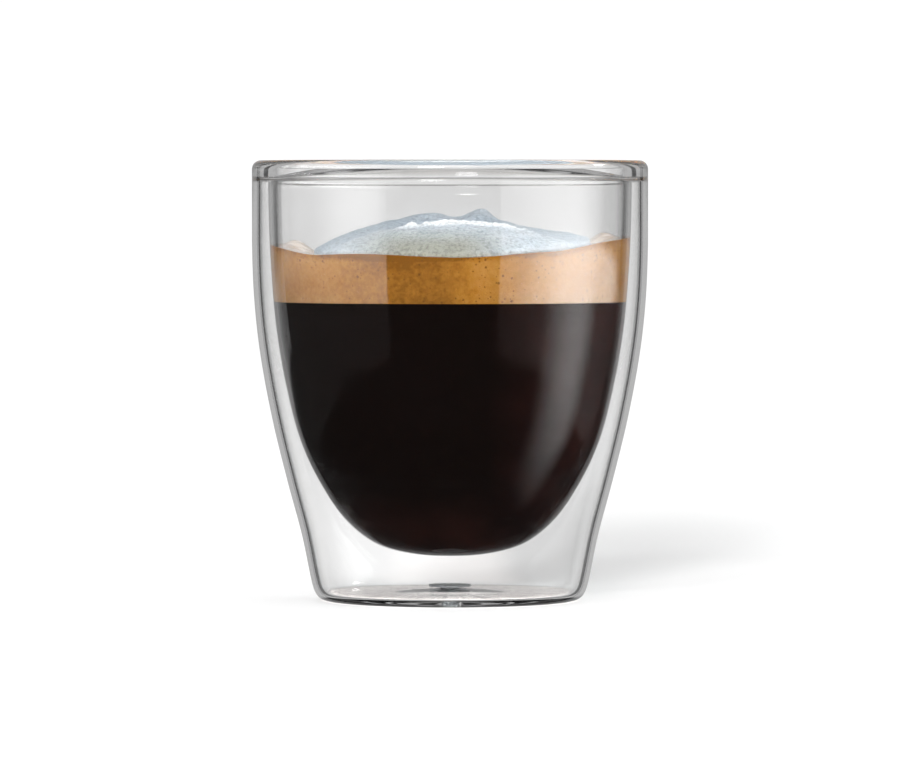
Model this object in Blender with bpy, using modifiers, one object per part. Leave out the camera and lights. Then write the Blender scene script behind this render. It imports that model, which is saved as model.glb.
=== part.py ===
"""Double espresso in its glass: a double-walled glass blown in one piece round a closed layer of air.

Its bowl holds black coffee, a thick layer of crema and a mound of milk foam.

Lengths are in metres and +Z is up. The origin is the centre of the foot, where the glass stands on a table.
The side that is seen first faces -Y, with +X to the right.
"""

import bpy
import numpy as np

MM = 0.001

# Glass, as radius and height in millimetres where two numbers stand together
HEIGHT = 70.0 * MM
RADIUS = 31.5 * MM
WALL = 1.25 * MM
RIM_ROUND = 1.4 * MM
RIM_DEPTH = 3.4 * MM
CONTACT_RADIUS = 19.1 * MM
FOOT_ROUND = 3.2 * MM
FLOOR_THICKNESS = 1.25 * MM
FLOOR_FILLET = 0.7 * MM
OUTER_WALL = [
    (31.5, 57.0), (31.15, 48.0), (30.2, 39.3), (28.3, 29.0), (25.9, 19.1), (23.6, 10.5), (22.35, 4.45),
]
BOWL_WALL = [
    (0.0, 7.3), (6.0, 7.6), (11.9, 9.3), (16.8, 13.2), (20.8, 19.1), (23.9, 25.9), (26.2, 34.9), (27.7, 44.0),
    (28.5, 53.5), (28.85, 62.0), (28.95, 70.0),
]
SEGMENTS = 56

# Punt in the middle of the foot, and the seal in its vent
PUNT_RADIUS = 8.75 * MM
PUNT_RISE = 0.7 * MM
VENT_RADIUS = 1.5 * MM
SEAL_HEAD_RADIUS = 2.1 * MM
SEAL_HEAD_THICKNESS = 0.2 * MM
SEAL_BUTTON_RADIUS = 3.4 * MM
SEAL_BUTTON_THICKNESS = 0.35 * MM

# Fill levels and the gap left between pieces that touch
COFFEE_LEVEL = 47.7 * MM
CREMA_LEVEL = 55.1 * MM
GAP = 0.3 * MM

# Crema's surface: how far it climbs the glass at the left and the right, and its slow swell
CREMA_LEFT_CLIMB = 1.2 * MM
CREMA_RIGHT_CLIMB = 2.6 * MM
CREMA_SWELL = 0.35 * MM
SWELL_ACROSS = 190.0
SWELL_BACK = 150.0

# Ridge of loose froth on the crema at each side: height, distance from the middle, half-width and half-length
RIDGE_RISE = 1.3 * MM
RIDGE_REACH = 24.3 * MM
RIDGE_BACK = 2.0 * MM
RIDGE_WIDTH = 2.2 * MM
RIDGE_LENGTH = 6.0 * MM

# Mound of milk foam
FOAM_CENTRE = (0.4 * MM, 0.0)
FOAM_RADIUS = 21.8 * MM
FOAM_RISE = 5.5 * MM
FOAM_EDGE = 0.6 * MM
FOAM_POWER = 0.8
FOAM_LEAST = 0.25 * MM
FOAM_SLOW_WAVE = 0.025
FOAM_QUICK_WAVE = 0.02
FOAM_RIPPLE = 0.12 * MM
RIPPLE_ACROSS = (1150.0, 380.0)
RIPPLE_BACK = (420.0, 990.0)
# Swells and hollows of the mound, each as x, y, half-width in x, half-width in y and height, in millimetres
FOAM_BUMPS = [
    (5.0, 2.5, 1.9, 3.6, 1.35),
    (-4.0, 2.0, 3.6, 5.0, 0.45),
    (0.8, 2.0, 1.9, 5.0, -0.45),
    (11.5, 0.0, 5.0, 13.0, -1.0),
    (-0.5, -7.0, 8.5, 3.6, -2.1),
    (0.5, -12.0, 8.0, 1.6, 0.55),
]


def curve_through(knots, count):
    """Points of a smooth curve through the knots, in metres: a Hermite curve whose slopes follow the chords.

    The first knot is mirrored in the axis or carried straight up, and the last one is carried straight on, so
    that the curve leaves the axis level and meets a straight wall without a corner.
    """
    knots = np.array(knots) * MM
    first = knots[1] * (-1.0, 1.0) if knots[0, 0] == 0.0 else knots[0] * (1.0, 2.0) - knots[1] * (0.0, 1.0)
    padded = np.vstack([first, knots, 2.0 * knots[-1] - knots[-2]])
    at = np.concatenate([[0.0], np.cumsum(np.linalg.norm(np.diff(padded, axis=0), axis=1))])
    slopes = (padded[2:] - padded[:-2]) / (at[2:] - at[:-2])[:, None]
    stops = at[1:-1]
    where = np.linspace(stops[0], stops[-1], count)
    piece = np.clip(np.searchsorted(stops, where, side="right") - 1, 0, len(stops) - 2)
    span = stops[piece + 1] - stops[piece]
    t = ((where - stops[piece]) / span)[:, None]
    span = span[:, None]
    return (
        (1.0 + 2.0 * t) * (1.0 - t) ** 2 * knots[piece]
        + t * (1.0 - t) ** 2 * span * slopes[piece]
        + t * t * (3.0 - 2.0 * t) * knots[piece + 1]
        + t * t * (t - 1.0) * span * slopes[piece + 1]
    )


def arc(centre, radii, start, end, count):
    """Points of an elliptical arc, with its angles in degrees from +X towards +Z."""
    angle = np.radians(np.linspace(start, end, count))
    return np.column_stack([centre[0] + radii[0] * np.cos(angle), centre[1] + radii[1] * np.sin(angle)])


def inset(points, depth):
    """The same outline moved to the right of its direction of travel, square to itself."""
    along = np.gradient(points, axis=0)
    along /= np.linalg.norm(along, axis=1)[:, None]
    return points + depth * np.column_stack([along[:, 1], -along[:, 0]])


def bowl(depth, top, count):
    """The bowl from its lowest point on the axis up to the height top, as a wall set in by depth.

    Depth 0 is the side that faces the layer of air, and WALL is the side that the drink touches.
    """
    fine = curve_through(BOWL_WALL, 400)
    fine = inset(fine, -depth)
    fine[0, 0] = 0.0
    fine = fine[fine[:, 1] <= top]
    reach = np.concatenate([[0.0], np.cumsum(np.linalg.norm(np.diff(fine, axis=0), axis=1))])
    stops = np.linspace(0.0, reach[-1], count)
    points = np.column_stack([np.interp(stops, reach, fine[:, 0]), np.interp(stops, reach, fine[:, 1])])
    points[-1, 1] = top
    return points


def bowl_radius(depth, height):
    """Radius of the bowl at a height or at an array of heights."""
    line = bowl(depth, HEIGHT - RIM_ROUND, 200)
    return np.interp(height, line[:, 1], line[:, 0])


def bend(start, leave, arrive, end, count):
    """Points of a cubic Bezier curve, with the handles that it leaves its start and arrives at its end by."""
    t = np.linspace(0.0, 1.0, count)[:, None]
    start, leave, arrive, end = np.array([start, leave, arrive, end])
    return (1 - t) ** 3 * start + 3 * (1 - t) ** 2 * t * leave + 3 * (1 - t) * t * t * arrive + t ** 3 * end


def outer_wall():
    """Outside of the glass from the straight wall down to the foot's flat ring."""
    wall = curve_through(OUTER_WALL, 12)
    slope = (wall[-1] - wall[-2]) / np.linalg.norm(wall[-1] - wall[-2])
    ring = np.array([CONTACT_RADIUS, 0.0])
    corner = bend(wall[-1], wall[-1] + slope * FOOT_ROUND, ring + (0.7 * FOOT_ROUND, 0.0), ring, 6)
    return np.vstack([wall, corner[1:]])


def punt(level, radius_at_vent):
    """The shallow dome in the middle of the foot, from its edge to the vent: half a cosine wave high."""
    radius = np.linspace(PUNT_RADIUS, radius_at_vent, 4)
    rise = 0.5 * PUNT_RISE * (1.0 + np.cos(np.pi * np.clip(radius / PUNT_RADIUS, 0.0, 1.0)))
    return np.column_stack([radius, level + rise])


def turned(name, outline, material, segments=SEGMENTS):
    """An object made by turning an outline of radius and height once round the Z axis."""
    mesh = bpy.data.meshes.new(name)
    points = [(radius, 0.0, height) for radius, height in outline]
    mesh.from_pydata(points, [(i, i + 1) for i in range(len(points) - 1)], [])
    obj = bpy.data.objects.new(name, mesh)
    PART.objects.link(obj)
    screw = obj.modifiers.new("turn", "SCREW")
    screw.axis = "Z"
    screw.steps = segments
    screw.render_steps = segments
    screw.use_merge_vertices = True
    screw.merge_threshold = 0.01 * MM
    screw.use_smooth_shade = True
    mesh.materials.append(material)
    return obj


def shaped(obj, shape):
    """Fixes the turned mesh and moves its points: shape takes and returns their x, y and z."""
    graph = bpy.context.evaluated_depsgraph_get()
    mesh = bpy.data.meshes.new_from_object(obj.evaluated_get(graph))
    old = obj.data
    obj.modifiers.clear()
    obj.data = mesh
    bpy.data.meshes.remove(old)
    mesh.name = obj.name
    points = np.empty(len(mesh.vertices) * 3, np.float32)
    mesh.vertices.foreach_get("co", points)
    points = np.column_stack(shape(*points.reshape(-1, 3).astype(float).T))
    mesh.vertices.foreach_set("co", points.astype(np.float32).ravel())
    mesh.update()


def bsdf(name, colour, roughness, transmission=0.0, ior=1.45):
    """A Principled material with one colour."""
    material = bpy.data.materials.new(name)
    material.use_nodes = True
    node = material.node_tree.nodes["Principled BSDF"]
    node.inputs["Base Color"].default_value = (*colour, 1.0)
    node.inputs["Metallic"].default_value = 0.0
    node.inputs["Roughness"].default_value = roughness
    node.inputs["Transmission Weight"].default_value = transmission
    node.inputs["IOR"].default_value = ior
    return material


def sharpen(obj, degrees):
    """Keeps the edges sharper than the angle crisp in an otherwise smooth surface."""
    obj.data.shade_smooth()
    obj.data.set_sharp_from_angle(angle=np.radians(degrees))


def glass():
    """The glass in one outline: up the bowl, over the rim, down outside, in at the vent, round the air."""
    rim_foot = HEIGHT - RIM_ROUND
    bowl_inside = bowl(WALL, rim_foot, 13)
    lip = bowl_inside[-1, 0] + RIM_ROUND
    shoulder = RADIUS - RIM_ROUND
    inner_round = arc((lip, rim_foot), (RIM_ROUND, RIM_ROUND), 180, 90, 4)
    outer_round = arc((shoulder, rim_foot), (RIM_ROUND, RIM_ROUND), 90, 0, 4)
    outside = outer_wall()
    air_top = HEIGHT - RIM_DEPTH
    air_outside = inset(outside, WALL)[::-1]
    air_outside = air_outside[air_outside[:, 1] > FLOOR_THICKNESS]
    bowl_outside = bowl(0.0, air_top, 13)
    middle = 0.5 * (bowl_outside[-1, 0] + air_outside[-1, 0])
    half_air = air_outside[-1, 0] - middle
    air_round = arc((middle, air_top), (half_air, half_air), 0, 180, 5)
    floor_corner = [(air_outside[0, 0] - FLOOR_FILLET, FLOOR_THICKNESS)]
    outline = np.vstack([
        bowl_inside,
        inner_round[1:],
        outer_round,
        outside,
        punt(0.0, VENT_RADIUS),
        punt(FLOOR_THICKNESS, VENT_RADIUS)[::-1],
        floor_corner,
        air_outside,
        air_round,
        bowl_outside[-2::-1],
    ])
    obj = turned("glass", outline, bsdf("clear_borosilicate_glass", (0.95, 0.97, 0.97), 0.02, 1.0, 1.47))
    sharpen(obj, 40)


def vent_seal():
    """The small clear seal: a stem in the vent, a head under the punt and a button on the floor inside."""
    stem = VENT_RADIUS - GAP
    head_top = punt(0.0, SEAL_HEAD_RADIUS)[-1, 1] - GAP
    button_foot = punt(FLOOR_THICKNESS, VENT_RADIUS)[-1, 1] + GAP
    outline = [
        (0.0, button_foot + SEAL_BUTTON_THICKNESS),
        (SEAL_BUTTON_RADIUS, button_foot + SEAL_BUTTON_THICKNESS),
        (SEAL_BUTTON_RADIUS, button_foot),
        (stem, button_foot),
        (stem, head_top),
        (SEAL_HEAD_RADIUS, head_top),
        (SEAL_HEAD_RADIUS, head_top - SEAL_HEAD_THICKNESS),
        (0.0, head_top - SEAL_HEAD_THICKNESS),
    ]
    obj = turned("vent_seal", outline, bsdf("clear_silicone", (0.80, 0.82, 0.83), 0.35, 0.6, 1.41), 24)
    sharpen(obj, 40)


def coffee():
    """The black coffee: all of the bowl up to the level where the crema begins."""
    wall = bowl(WALL + GAP, COFFEE_LEVEL, 13)
    outline = np.vstack([[(0.0, COFFEE_LEVEL)], wall[::-1]])
    obj = turned("coffee", outline, bsdf("black_coffee", (0.012, 0.006, 0.004), 0.08))
    sharpen(obj, 40)


def smooth_step(low, high, value):
    """0 below low, 1 above high, and a smooth rise between them."""
    t = np.clip((value - low) / (high - low), 0.0, 1.0)
    return t * t * (3.0 - 2.0 * t)


def crema_top(x, y):
    """Height of the crema's surface, which climbs the glass and has a ridge of froth at both sides."""
    side = x / bowl_radius(WALL, CREMA_LEVEL)
    left = CREMA_LEFT_CLIMB * smooth_step(0.72, 1.0, -side)
    right = CREMA_RIGHT_CLIMB * (0.16 * smooth_step(0.0, 0.55, side) + 0.84 * smooth_step(0.55, 1.0, side))
    wave = np.sin(SWELL_ACROSS * x + 1.1) * np.cos(SWELL_BACK * y + 0.4)
    swell = CREMA_SWELL * wave * np.hypot(x, y) / RADIUS
    across = (np.abs(x) - RIDGE_REACH) / RIDGE_WIDTH
    along = (y - RIDGE_BACK) / RIDGE_LENGTH
    ridge = RIDGE_RISE * np.exp(-across ** 2 - along ** 2)
    return CREMA_LEVEL + left + right + swell + ridge


def crema():
    """The layer of crema, from the coffee up to its uneven surface."""
    bottom = COFFEE_LEVEL + GAP
    rings = np.linspace(0.0, 1.0, 9)
    sides = np.linspace(1.0, 0.0, 4)
    outline = [(ring, 1.0) for ring in rings] + [(1.0, side) for side in sides[1:]] + [(0.0, 0.0)]

    def shape(x, y, level):
        """Radius 1 becomes the wall of the bowl, and level 0 to 1 the span from the coffee to the surface."""
        edge = bowl_radius(WALL + GAP, CREMA_LEVEL)
        height = bottom + level * (crema_top(x * edge, y * edge) - bottom)
        reach = bowl_radius(WALL + GAP, height)
        return x * reach, y * reach, height

    obj = turned("crema", outline, bsdf("coffee_crema", (0.42, 0.22, 0.075), 0.55))
    shaped(obj, shape)
    sharpen(obj, 50)


def foam_edge(angle):
    """Distance of the mound's wavy edge from its middle, at each angle."""
    slow = FOAM_SLOW_WAVE * np.sin(3.0 * angle + 0.6) * np.sin(angle)
    quick = FOAM_QUICK_WAVE * np.sin(5.0 * angle) ** 2
    return FOAM_RADIUS * (1.0 + slow + quick)


def foam_reach(x, y):
    """Distance from the middle of the mound as a share of its edge's distance."""
    x = x - FOAM_CENTRE[0]
    y = y - FOAM_CENTRE[1]
    return np.hypot(x, y) / foam_edge(np.arctan2(y, x))


def foam_top(x, y):
    """Height of the mound: a flattened dome, with bell-shaped swells and hollows, and fine ripples."""
    dome = np.clip(1.0 - foam_reach(x, y) ** 2, 0.0, 1.0)
    height = crema_top(x, y) + GAP + FOAM_EDGE * dome ** 0.25 + FOAM_RISE * dome ** FOAM_POWER
    for middle_x, middle_y, wide, deep, rise in np.array(FOAM_BUMPS) * MM:
        height = height + rise * np.exp(-((x - middle_x) / wide) ** 2 - ((y - middle_y) / deep) ** 2)
    one_way = np.sin(RIPPLE_ACROSS[0] * x + RIPPLE_ACROSS[1] * y)
    other_way = np.sin(RIPPLE_BACK[0] * x - RIPPLE_BACK[1] * y + 1.3)
    return height + FOAM_RIPPLE * one_way * other_way * dome


def milk_foam():
    """The mound of milk foam that stands on the crema."""
    rings = np.sin(np.radians(np.linspace(0.0, 90.0, 15)))
    outline = [(ring, 1.0) for ring in rings] + [(ring, 0.0) for ring in (0.985, 0.6, 0.0)]

    def shape(x, y, level):
        """Radius 1 becomes the mound's edge, level 0 its underside on the crema and level 1 its top."""
        far = foam_edge(np.arctan2(y, x))
        x = FOAM_CENTRE[0] + x * far
        y = FOAM_CENTRE[1] + y * far
        under = crema_top(x, y) + GAP
        return x, y, np.where(level > 0.5, np.maximum(foam_top(x, y), under + FOAM_LEAST), under)

    obj = turned("milk_foam", outline, bsdf("milk_foam", (0.86, 0.89, 0.91), 0.65))
    shaped(obj, shape)
    sharpen(obj, 60)


for old in list(bpy.data.objects):
    bpy.data.objects.remove(old, do_unlink=True)

PART = bpy.data.collections.new("double_espresso")
bpy.context.scene.collection.children.link(PART)

glass()
vent_seal()
coffee()
crema()
milk_foam()
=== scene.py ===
"""Looks of the double espresso: a double-walled glass, its vent seal, coffee, crema and a mound of milk foam.

Each sub-assembly is a class that holds its sizes, builds its mesh as a numpy grid and dresses it. Lengths are
in metres, +Z is up and the camera looks along +Y, in the same frame as the fixed model.
"""

import logging
from dataclasses import dataclass, field
from enum import Enum

import bpy
import numpy as np
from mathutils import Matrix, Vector


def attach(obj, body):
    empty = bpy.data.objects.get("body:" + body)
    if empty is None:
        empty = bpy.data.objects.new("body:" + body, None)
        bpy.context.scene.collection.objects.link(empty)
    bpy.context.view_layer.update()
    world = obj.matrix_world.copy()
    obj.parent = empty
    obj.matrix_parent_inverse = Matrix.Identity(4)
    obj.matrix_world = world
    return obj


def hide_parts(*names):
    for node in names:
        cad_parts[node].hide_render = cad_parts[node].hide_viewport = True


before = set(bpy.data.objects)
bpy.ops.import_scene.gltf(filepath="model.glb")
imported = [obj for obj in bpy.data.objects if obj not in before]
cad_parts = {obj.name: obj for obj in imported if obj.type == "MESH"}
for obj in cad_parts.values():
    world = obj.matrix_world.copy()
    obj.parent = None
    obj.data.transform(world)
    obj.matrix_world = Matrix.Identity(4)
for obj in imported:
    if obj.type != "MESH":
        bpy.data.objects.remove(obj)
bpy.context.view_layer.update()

LOG = logging.getLogger("double_espresso")
MM = 0.001

# Driving sizes, the same as those of the fixed model
HEIGHT = 70.0 * MM
RADIUS = 31.5 * MM
WALL = 1.25 * MM
COFFEE_LEVEL = 47.7 * MM
CREMA_LEVEL = 55.1 * MM
GAP = 0.3 * MM
# How far a drink reaches into the wall that holds it, so that no air shows between them
BITE = 0.1 * MM
# Faces that meet at more than this angle, in degrees, are shaded with a sharp edge
SHARP_ANGLE = 50.0

# The types that the node functions take and give
Tree = bpy.types.NodeTree
Socket = bpy.types.NodeSocket


class Rail(Enum):
    """Which side of the bowl's wall a line follows: its depth from the side that faces the layer of air."""

    AIR_SIDE = 0.0
    DRINK_SIDE = WALL
    IN_THE_WALL = WALL - BITE


def linear(code: str) -> tuple[float, float, float, float]:
    """Turn an sRGB hex colour into a linear one.

    Args:
        code: Six hex digits with a leading hash.

    Returns:
        Red, green and blue, by a straight line below 0.04045 and a power of 2.4 above it, and full opacity.
    """
    srgb = np.array([int(code[i:i + 2], 16) for i in (1, 3, 5)]) / 255.0
    values = np.where(srgb <= 0.04045, srgb / 12.92, ((srgb + 0.055) / 1.055) ** 2.4)
    return (*(float(value) for value in values), 1.0)


def add(tree: Tree, kind: str, links: dict | None = None, **settings) -> bpy.types.Node:
    """Add one node, with its settings and its links.

    Args:
        tree: The node tree that it goes in.
        kind: Blender's name of the node.
        links: Socket name or number to what feeds it: a socket to link, or a plain value.
        settings: Attributes of the node itself.

    Returns:
        The new node.
    """
    node = tree.nodes.new(kind)
    for name, value in settings.items():
        setattr(node, name, value)
    for name, value in (links or {}).items():
        if isinstance(value, Socket):
            tree.links.new(value, node.inputs[name])
        else:
            node.inputs[name].default_value = value
    return node


def ramp(tree: Tree, factor: Socket, stops: list[tuple[float, str]]) -> Socket:
    """Add a colour ramp.

    Args:
        tree: The node tree that it goes in.
        factor: The socket that drives it.
        stops: Position and sRGB hex colour of each stop, in order.

    Returns:
        The ramp's colour socket.
    """
    node = add(tree, "ShaderNodeValToRGB", {"Fac": factor})
    elements = node.color_ramp.elements
    while len(elements) < len(stops):
        elements.new(1.0)
    for element, (position, code) in zip(elements, stops):
        element.position = position
        element.color = linear(code)
    return node.outputs["Color"]


def maths(tree: Tree, operation: str, *values: Socket | float) -> Socket:
    """Add one step of arithmetic.

    Args:
        tree: The node tree that it goes in.
        operation: Blender's name of the step.
        values: What it works on, in order: sockets or plain values.

    Returns:
        The result.
    """
    return add(tree, "ShaderNodeMath", dict(enumerate(values)), operation=operation).outputs[0]


def mapped(tree: Tree, value: Socket, start: float, end: float,
           low: float = 0.0, high: float = 1.0, smooth: bool = False) -> Socket:
    """Map a value from one range to another, held at its ends.

    Args:
        tree: The node tree that it goes in.
        value: What is mapped.
        start: Value that gives low.
        end: Value that gives high, above or below start.
        low: Result at the start.
        high: Result at the end.
        smooth: Whether the change eases in and out, as 3t^2 - 2t^3, or runs straight.

    Returns:
        The result.
    """
    values = {"Value": value, "From Min": start, "From Max": end, "To Min": low, "To Max": high}
    way = "SMOOTHSTEP" if smooth else "LINEAR"
    return add(tree, "ShaderNodeMapRange", values, interpolation_type=way).outputs["Result"]


def blended(tree: Tree, factor: Socket | float, first: Socket, second: Socket | tuple,
            way: str = "MIX") -> Socket:
    """Blend two colours.

    Args:
        tree: The node tree that it goes in.
        factor: Share of the second colour.
        first: Colour where the factor is 0.
        second: Colour that comes in as the factor grows.
        way: Blender's name of the blend.

    Returns:
        The blended colour.
    """
    colours = {"Factor": factor, "A": first, "B": second}
    return add(tree, "ShaderNodeMix", colours, data_type="RGBA", blend_type=way).outputs["Result"]


def noise(tree: Tree, place: Socket, scale: float, detail: float, roughness: float = 0.5) -> Socket:
    """Add cloudy noise.

    Args:
        tree: The node tree that it goes in.
        place: Position in metres.
        scale: Clouds per metre.
        detail: Finer layers, each half as large as the one before.
        roughness: Strength of each layer against the one before.

    Returns:
        The noise, around 0.5.
    """
    values = {"Vector": place, "Scale": scale, "Detail": detail, "Roughness": roughness}
    return add(tree, "ShaderNodeTexNoise", values).outputs["Fac"]


def new_material(name: str) -> tuple[bpy.types.Material, Tree, bpy.types.Node, Socket]:
    """Make an empty node material.

    Args:
        name: Its name.

    Returns:
        The material, its node tree, its output node and the position in metres of the point that is shaded.
    """
    material = bpy.data.materials.new(name)
    material.use_nodes = True
    tree = material.node_tree
    tree.nodes.clear()
    place = add(tree, "ShaderNodeTexCoord").outputs["Object"]
    return material, tree, add(tree, "ShaderNodeOutputMaterial"), place


def smooth_step(low: float, high: float, value: np.ndarray) -> np.ndarray:
    """0 below low, 1 above high, and 3t^2 - 2t^3 between them."""
    t = np.clip((value - low) / (high - low), 0.0, 1.0)
    return t * t * (3.0 - 2.0 * t)


def lattice_noise(x: np.ndarray, y: np.ndarray, size: float, seed: int) -> np.ndarray:
    """Smooth noise between -1 and 1: hashed values at the corners of a lattice, blended by smooth steps.

    Args:
        x, y: Coordinates in metres.
        size: Lattice spacing in metres.
        seed: Number of the pattern.

    Returns:
        One value for each point.
    """
    cells = [np.floor(axis / size) for axis in (x, y)]
    parts = [axis / size - cell for axis, cell in zip((x, y), cells)]
    parts = [part * part * (3.0 - 2.0 * part) for part in parts]
    total = np.zeros(np.shape(x))
    for corner in np.ndindex(2, 2):
        key = sum((cell + step) * factor for cell, step, factor in zip(cells, corner, (127.1, 311.7)))
        value = np.modf(np.sin(key + seed * 19.19) * 43758.5453)[0]
        weight = np.ones(np.shape(x))
        for part, step in zip(parts, corner):
            weight = weight * (part if step else 1.0 - part)
        total = total + weight * value
    return total


def layered_noise(x: np.ndarray, y: np.ndarray, size: float, seed: int, octaves: int) -> np.ndarray:
    """Lattice noise added up over octaves, each half as large and half as strong as the one before."""
    layers = [lattice_noise(x, y, size / 2 ** i, seed + i) / 2 ** i for i in range(octaves)]
    return np.sum(layers, axis=0)


def curve_through(knots: list[tuple[float, float]], count: int) -> np.ndarray:
    """A smooth curve through knots: Hermite pieces whose slopes follow the chords.

    Args:
        knots: Radius and height of each knot in millimetres. The curve leaves the first one level if it is
            on the axis, and upright if it is off it.
        count: Number of points wanted.

    Returns:
        Radius and height in metres, one row for each point.
    """
    knots = np.array(knots) * MM
    first = knots[1] * (-1.0, 1.0) if knots[0, 0] == 0.0 else knots[0] * (1.0, 2.0) - knots[1] * (0.0, 1.0)
    padded = np.vstack([first, knots, 2.0 * knots[-1] - knots[-2]])
    at = np.concatenate([[0.0], np.cumsum(np.linalg.norm(np.diff(padded, axis=0), axis=1))])
    slopes = (padded[2:] - padded[:-2]) / (at[2:] - at[:-2])[:, None]
    stops = at[1:-1]
    where = np.linspace(stops[0], stops[-1], count)
    piece = np.clip(np.searchsorted(stops, where, side="right") - 1, 0, len(stops) - 2)
    span = (stops[piece + 1] - stops[piece])[:, None]
    t = (where - stops[piece])[:, None] / span
    return (
        (1.0 + 2.0 * t) * (1.0 - t) ** 2 * knots[piece]
        + t * (1.0 - t) ** 2 * span * slopes[piece]
        + t * t * (3.0 - 2.0 * t) * knots[piece + 1]
        + t * t * (t - 1.0) * span * slopes[piece + 1]
    )


def arc(centre: tuple[float, float], radii: tuple[float, float], start: float, end: float,
        count: int) -> np.ndarray:
    """Points of an elliptical arc, with its angles in degrees from +X towards +Z."""
    angle = np.radians(np.linspace(start, end, count))
    return np.column_stack([centre[0] + radii[0] * np.cos(angle), centre[1] + radii[1] * np.sin(angle)])


def inset(points: np.ndarray, depth: float) -> np.ndarray:
    """The same outline moved to the right of its direction of travel, square to itself.

    Args:
        points: Radius and height of each point.
        depth: How far it moves.

    Returns:
        The moved points.
    """
    along = np.gradient(points, axis=0)
    along /= np.linalg.norm(along, axis=1)[:, None]
    return points + depth * np.column_stack([along[:, 1], -along[:, 0]])


def turned_mesh(name: str, outline: np.ndarray, segments: int) -> bpy.types.Object:
    """Turn an outline once round the Z axis: point (r, z) goes to (r cos a, r sin a, z).

    Args:
        name: Name of the object and its mesh.
        outline: Radius and height, running down the outer side, with both ends on the axis.
        segments: Number of steps round.

    Returns:
        A closed object at the origin, with one point at each pole.
    """
    angle = np.linspace(0.0, 2.0 * np.pi, segments, endpoint=False)
    radius, height = outline[1:-1, 0][:, None], outline[1:-1, 1][:, None]
    rows = np.stack([radius * np.cos(angle), radius * np.sin(angle), height + 0.0 * angle], axis=-1)
    return polar_mesh(name, rows, (0.0, 0.0, outline[0, 1]), (0.0, 0.0, outline[-1, 1]))


def polar_mesh(name: str, rows: np.ndarray, first: tuple, last: tuple) -> bpy.types.Object:
    """Make a closed mesh from rings of points and the two poles that cap them.

    Args:
        name: Name of the object and its mesh.
        rows: Array of rings by steps by 3, each ring running counter-clockwise seen from above.
        first: Pole before the first ring.
        last: Pole after the last ring.

    Returns:
        The object at the origin, shaded smooth but for its sharp edges.
    """
    rings, steps = rows.shape[:2]
    points = np.vstack([rows.reshape(-1, 3), [first], [last]])
    index = np.arange(rings * steps).reshape(rings, steps)
    beside = np.roll(index, -1, axis=1)
    quads = np.stack([index[:-1], index[1:], beside[1:], beside[:-1]], axis=-1).reshape(-1, 4)
    top = np.stack([np.full(steps, rings * steps), index[0], beside[0]], axis=-1)
    bottom = np.stack([np.full(steps, rings * steps + 1), beside[-1], index[-1]], axis=-1)
    mesh = bpy.data.meshes.new(name)
    mesh.from_pydata(points.tolist(), [], quads.tolist() + top.tolist() + bottom.tolist())
    mesh.shade_smooth()
    mesh.set_sharp_from_angle(angle=np.radians(SHARP_ANGLE))
    mesh.update()
    obj = bpy.data.objects.new(name, mesh)
    bpy.context.scene.collection.objects.link(obj)
    return obj


def dress(obj: bpy.types.Object, material: bpy.types.Material, node: str) -> None:
    """Give a piece its material, let it ride, and hide the fixed model's piece that it stands for.

    Args:
        obj: The piece.
        material: What it is made of.
        node: Name of the fixed model's piece that it stands for.
    """
    obj.data.materials.append(material)
    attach(obj, "root")
    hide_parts(node)
    LOG.info("%s: %d faces in %s", obj.name, len(obj.data.polygons), material.name)


@dataclass(frozen=True)
class BlownGlass:
    """Clear borosilicate glass, blown and fire polished: bright and colourless, grey where seen end on."""

    name: str = "blown_borosilicate_glass"
    ior: float = 1.47
    tint: str = "#FDFDFD"
    shadow_tint: str = "#F6F7F7"
    absorption: str = "#C2C1C0"
    density: float = 8.0

    def build(self) -> bpy.types.Material:
        """Make the material: refraction with absorption, and a clear pass for shadow rays.

        Returns:
            The material.
        """
        material, tree, out, place = new_material(self.name)
        # The blown wall is a little wavy over centimetres, which bends what is seen through it
        waves = noise(tree, place, 60.0, 1.0)
        bump = add(tree, "ShaderNodeBump", {"Height": waves, "Strength": 0.02, "Distance": 0.0002})
        body = add(tree, "ShaderNodeBsdfPrincipled", {
            "Base Color": linear(self.tint), "Roughness": 0.0, "IOR": self.ior, "Transmission Weight": 1.0,
            "Normal": bump.outputs["Normal"]})
        clear = add(tree, "ShaderNodeBsdfTransparent", {"Color": linear(self.shadow_tint)})
        rays = add(tree, "ShaderNodeLightPath")
        mix = add(tree, "ShaderNodeMixShader", {
            0: rays.outputs["Is Shadow Ray"], 1: body.outputs["BSDF"], 2: clear.outputs["BSDF"]})
        tree.links.new(mix.outputs["Shader"], out.inputs["Surface"])
        volume = add(tree, "ShaderNodeVolumeAbsorption", {
            "Color": linear(self.absorption), "Density": self.density})
        tree.links.new(volume.outputs["Volume"], out.inputs["Volume"])
        return material


@dataclass(frozen=True)
class ClearSilicone:
    """Moulded clear silicone: a hazy grey plug with a soft shine, half see-through."""

    name: str = "moulded_clear_silicone"
    colour: str = "#B4B8BA"
    haze: str = "#85898B"

    def build(self) -> bpy.types.Material:
        """Make the material: two greys in clouds of about 1 mm.

        Returns:
            The material.
        """
        material, tree, out, place = new_material(self.name)
        colour = ramp(tree, noise(tree, place, 900.0, 3.0), [(0.3, self.haze), (0.7, self.colour)])
        body = add(tree, "ShaderNodeBsdfPrincipled", {
            "Base Color": colour, "Roughness": 0.3, "IOR": 1.41, "Transmission Weight": 0.5})
        tree.links.new(body.outputs["BSDF"], out.inputs["Surface"])
        return material


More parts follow.
